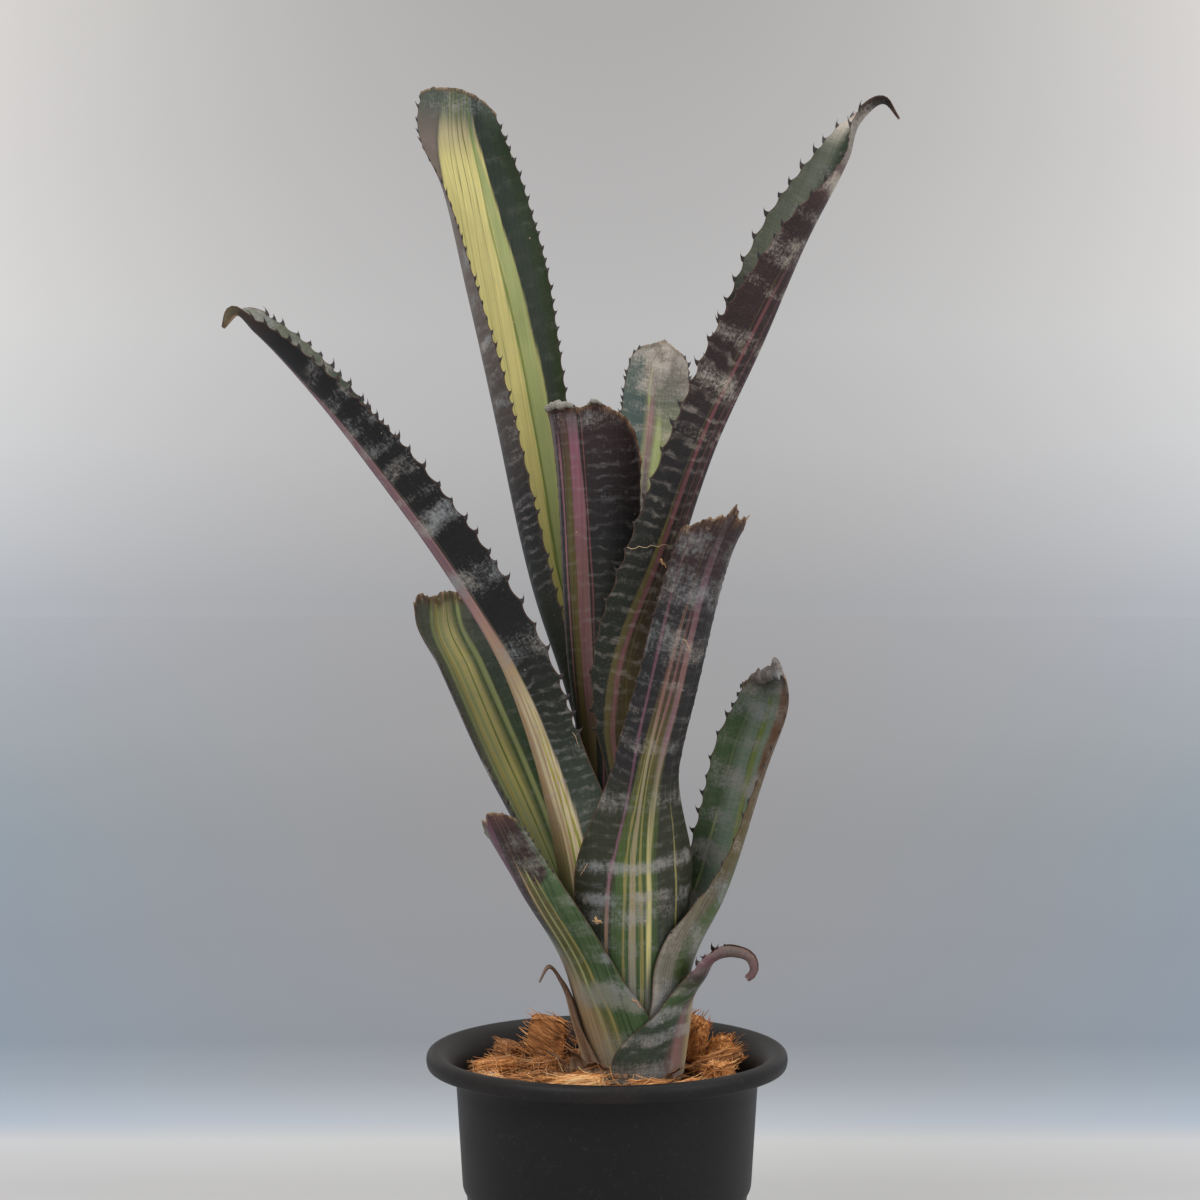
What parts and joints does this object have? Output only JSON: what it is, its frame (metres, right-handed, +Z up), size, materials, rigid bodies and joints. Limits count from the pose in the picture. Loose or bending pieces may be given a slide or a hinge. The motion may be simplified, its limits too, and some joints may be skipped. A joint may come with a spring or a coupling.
{
  "type": "potted aechmea (bromeliad)",
  "caption": "Potted aechmea: a rosette of spiny, silver-banded and pink-striped strap leaves round a water tank, in a black nursery pot topped with husk chips.",
  "frame": {"origin": "centre of the pot's flat base, on the surface that the pot stands on", "axes": "+Z up along the pot's axis; +X to the right and +Y away from a viewer who faces the plant's front"},
  "size_m": [0.266, 0.15, 0.5384],
  "materials": {
    "pot_plastic": "satin black, moulded",
    "medium": "damp, fibrous",
    "husk": "dry, fibrous",
    "stem_tissue": "matte",
    "leaf_green": "leathery, silver-scaled",
    "leaf_purple": "leathery, silver-banded",
    "leaf_dry": "papery"
  },
  "bodies": {
    "root": {"pot": "pot_plastic", "growing_medium": "medium", "stem": "stem_tissue", "leaf_small_back": "leaf_green", "leaf_tall_left": "leaf_green", "leaf_left_broad": "leaf_green", "leaf_right_upright": "leaf_green", "leaf_low_left": "leaf_green", "leaf_low_right": "leaf_green", "leaf_centre_torn": "leaf_purple", "leaf_tall_right": "leaf_purple", "leaf_long_left": "leaf_purple", "leaf_front_torn": "leaf_purple", "leaf_dried_stub": "leaf_dry", "husk_chip_01": "husk", "husk_chip_02": "husk", "husk_chip_03": "husk", "husk_chip_04": "husk", "husk_chip_05": "husk", "husk_chip_06": "husk", "husk_chip_07": "husk", "husk_chip_08": "husk", "husk_chip_09": "husk", "husk_chip_10": "husk", "husk_chip_11": "husk", "husk_chip_12": "husk", "husk_chip_13": "husk", "husk_chip_14": "husk", "husk_chip_15": "husk", "husk_chip_16": "husk", "husk_chip_17": "husk", "husk_chip_18": "husk", "husk_chip_19": "husk", "husk_chip_20": "husk", "husk_chip_21": "husk"}
  },
  "joints": []
}
